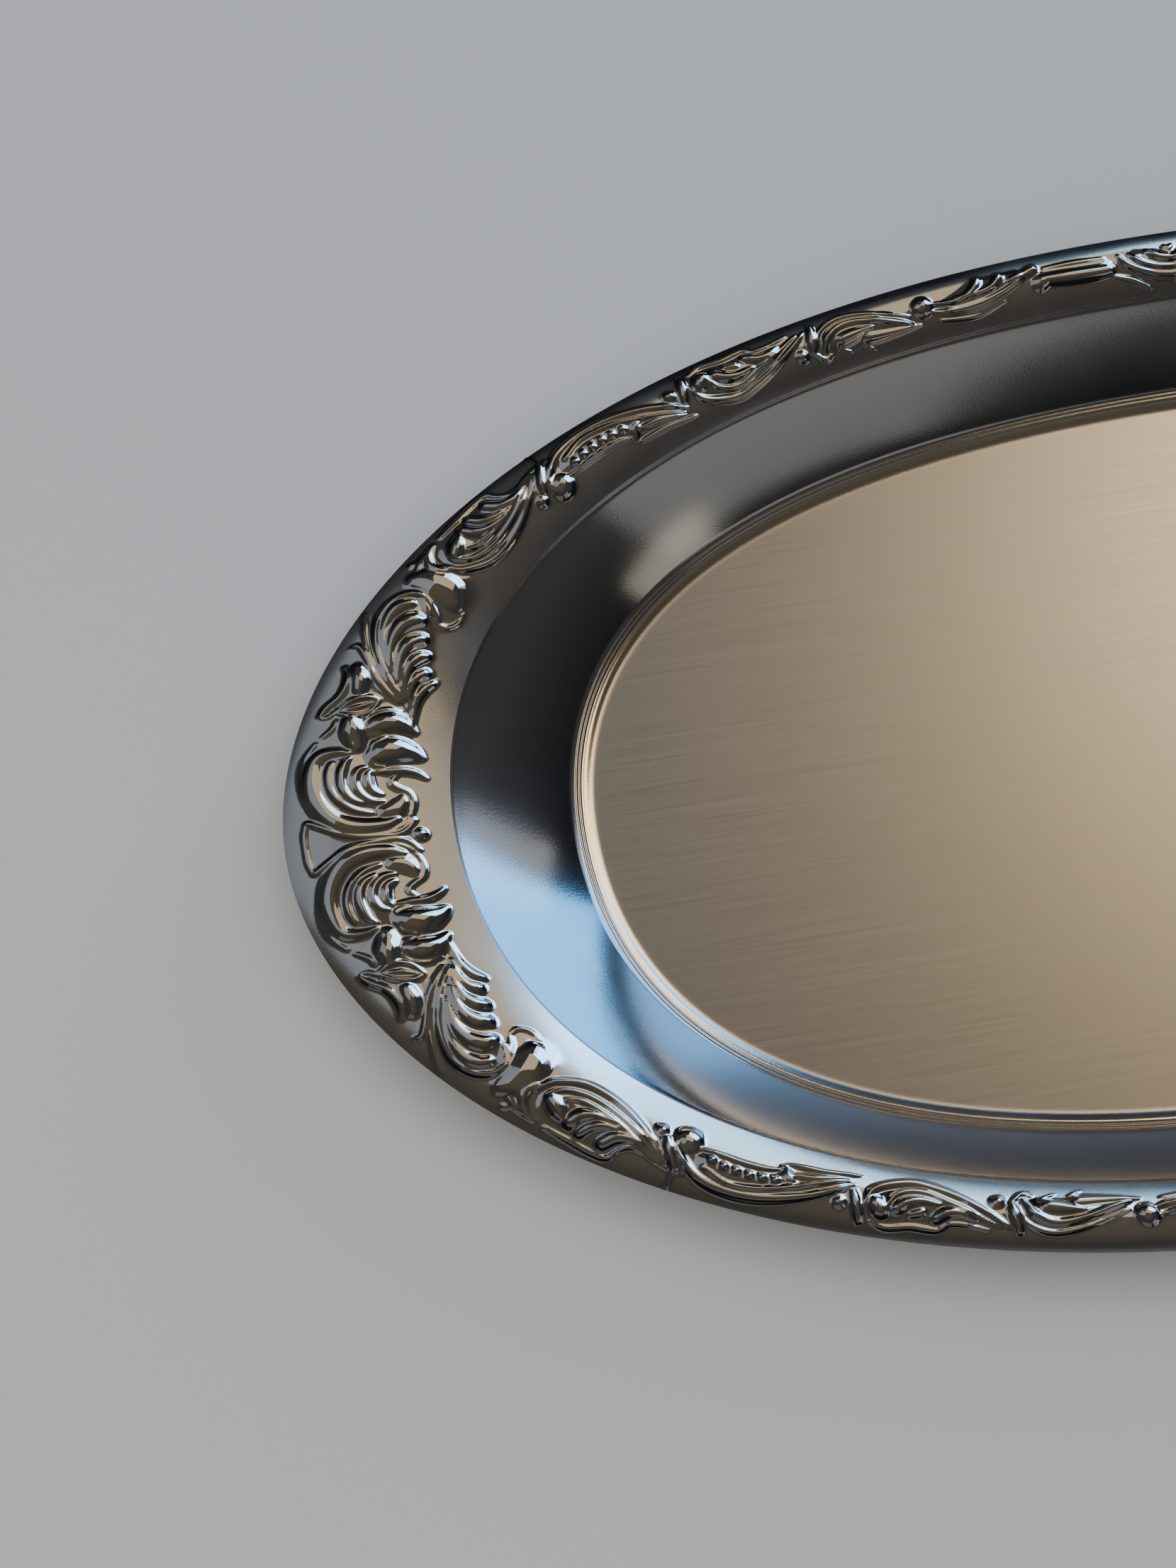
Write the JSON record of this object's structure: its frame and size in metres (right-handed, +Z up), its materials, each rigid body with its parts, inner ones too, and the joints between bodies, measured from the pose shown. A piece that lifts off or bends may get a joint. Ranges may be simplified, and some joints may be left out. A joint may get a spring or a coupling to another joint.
{
  "type": "oval vanity tray",
  "caption": "Oval pressed stainless vanity tray: wide rounded rim embossed with scroll and leaf ornament, small step, sloping wall and flat base to stand on a dresser.",
  "frame": {"origin": "centre of the tray's footprint, on the surface that it stands on", "axes": "+Z up out of the well, X along the tray's length, Y across its width"},
  "size_m": [0.37, 0.1978, 0.0198],
  "materials": {
    "pressed_stainless": "polished ornament, satin wall and rim margin, finely brushed base"
  },
  "bodies": {
    "root": {"pressed_tray": "pressed_stainless"}
  },
  "joints": []
}
